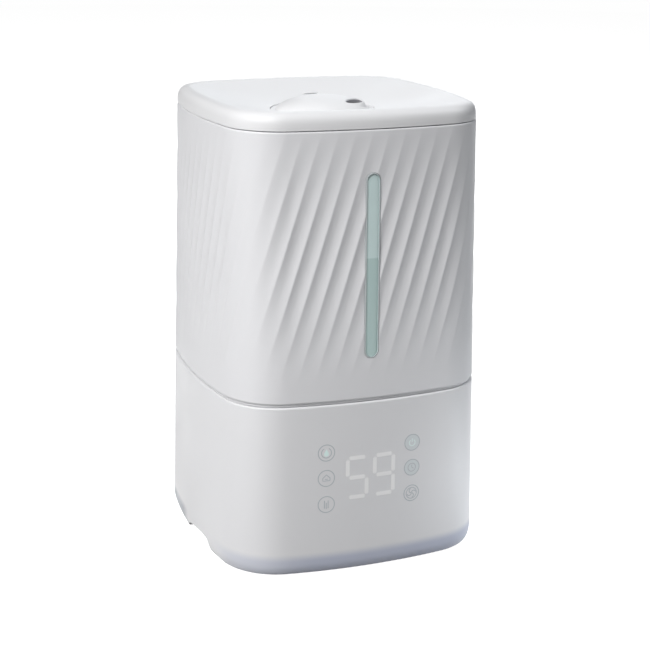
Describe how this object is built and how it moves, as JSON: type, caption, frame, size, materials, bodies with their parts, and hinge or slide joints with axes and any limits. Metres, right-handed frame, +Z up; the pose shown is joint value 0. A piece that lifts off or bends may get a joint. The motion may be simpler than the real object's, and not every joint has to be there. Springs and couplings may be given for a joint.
{
  "type": "cool mist humidifier",
  "caption": "Free-standing top-fill cool mist humidifier: rounded square base with lit display, fluted lift-off tank, dished lid and turning mist nozzle.",
  "frame": {"origin": "on the floor, under the middle of the base", "axes": "+Z up, the display and level window face -Y, +X is the right-hand side seen from the front"},
  "size_m": [0.2046, 0.2046, 0.3259],
  "materials": {
    "white_plastic": "satin moulded ABS",
    "tank_white": "fine satin moulded ABS with slanting flutes",
    "skirt_tint": "smooth, faintly blue",
    "grey_plastic": "matt moulded",
    "foot_rubber": "matt",
    "steel": "plain",
    "silicone": "translucent white, matt",
    "ceramic": null,
    "circuit_board": "solder resist on glass fibre",
    "aluminium": "extruded",
    "transformer_tape": "polyester tape",
    "black_plastic": "fine matt",
    "display_light": "milky diffuser, lit from behind",
    "motor_copper": "wound copper",
    "aqua_window": "clear tinted acrylic strip"
  },
  "bodies": {
    "base": {"base_housing": "white_plastic", "base_deck": "white_plastic", "water_basin": "white_plastic", "base_skirt": "skirt_tint", "bottom_plate": "grey_plastic", "transducer_clamp": "grey_plastic", "air_duct": "grey_plastic", "float_clip": "grey_plastic", "foot_front_left": "foot_rubber", "foot_front_right": "foot_rubber", "foot_back_right": "foot_rubber", "foot_back_left": "foot_rubber", "bottom_screw_front_left": "steel", "bottom_screw_front_right": "steel", "bottom_screw_back_right": "steel", "bottom_screw_back_left": "steel", "deck_screw_front_left": "steel", "deck_screw_front_right": "steel", "deck_screw_back_right": "steel", "deck_screw_back_left": "steel", "inlet_pin_left": "steel", "inlet_pin_right": "steel", "transducer_seal": "silicone", "touch_pad_left_top": "silicone", "touch_pad_left_middle": "silicone", "touch_pad_left_bottom": "silicone", "touch_pad_right_top": "silicone", "touch_pad_right_middle": "silicone", "touch_pad_right_bottom": "silicone", "transducer_disc": "ceramic", "driver_board": "circuit_board", "power_board": "circuit_board", "display_board": "circuit_board", "driver_heat_sink": "aluminium", "power_transformer": "transformer_tape", "display_shade": "black_plastic", "humidity_sensor": "black_plastic", "fan_frame": "black_plastic", "power_inlet": "black_plastic", "level_sensor": "black_plastic", "digit_left": "display_light", "digit_right": "display_light", "fan_motor": "motor_copper"},
    "fan": {"fan_rotor": "black_plastic"},
    "float": {"float_ring": "silicone", "float_magnet": "steel"},
    "tank": {"tank_shell": "tank_white", "tank_floor": "white_plastic", "mist_chimney": "white_plastic", "level_window": "aqua_window", "valve_seat": "white_plastic", "valve_spring": "steel"},
    "valve": {"valve_plunger": "grey_plastic", "valve_seal": "silicone"},
    "lid": {"lid_cover": "white_plastic", "lid_liner": "white_plastic", "lid_gasket": "silicone", "nozzle_o_ring": "silicone"},
    "nozzle": {"nozzle_cap": "white_plastic", "nozzle_baffle": "white_plastic"}
  },
  "joints": [
    {"name": "tank_lift", "type": "slide", "parent": "base", "child": "tank", "axis": [0, 0, 1], "range_m": [0, 0.06]},
    {"name": "valve_travel", "type": "slide", "parent": "tank", "child": "valve", "axis": [0, 0, 1], "range_m": [-0.005, 0], "deforming": ["valve_spring"]},
    {"name": "lid_lift", "type": "slide", "parent": "tank", "child": "lid", "axis": [0, 0, 1], "range_m": [0, 0.04]},
    {"name": "nozzle_turn", "type": "hinge", "parent": "lid", "child": "nozzle", "pos_m": [0, 0, 0.31], "axis": [0, 0, 1], "continuous": true},
    {"name": "float_rise", "type": "slide", "parent": "base", "child": "float", "axis": [0, 0, 1], "range_m": [0, 0.01]},
    {"name": "fan_spin", "type": "hinge", "parent": "base", "child": "fan", "pos_m": [0, 0.042, 0.03], "axis": [0, 0, 1], "continuous": true}
  ],
  "couplings": [
    {"joint": "valve_travel", "follows": "tank_lift", "ratio": -0.083333}
  ]
}
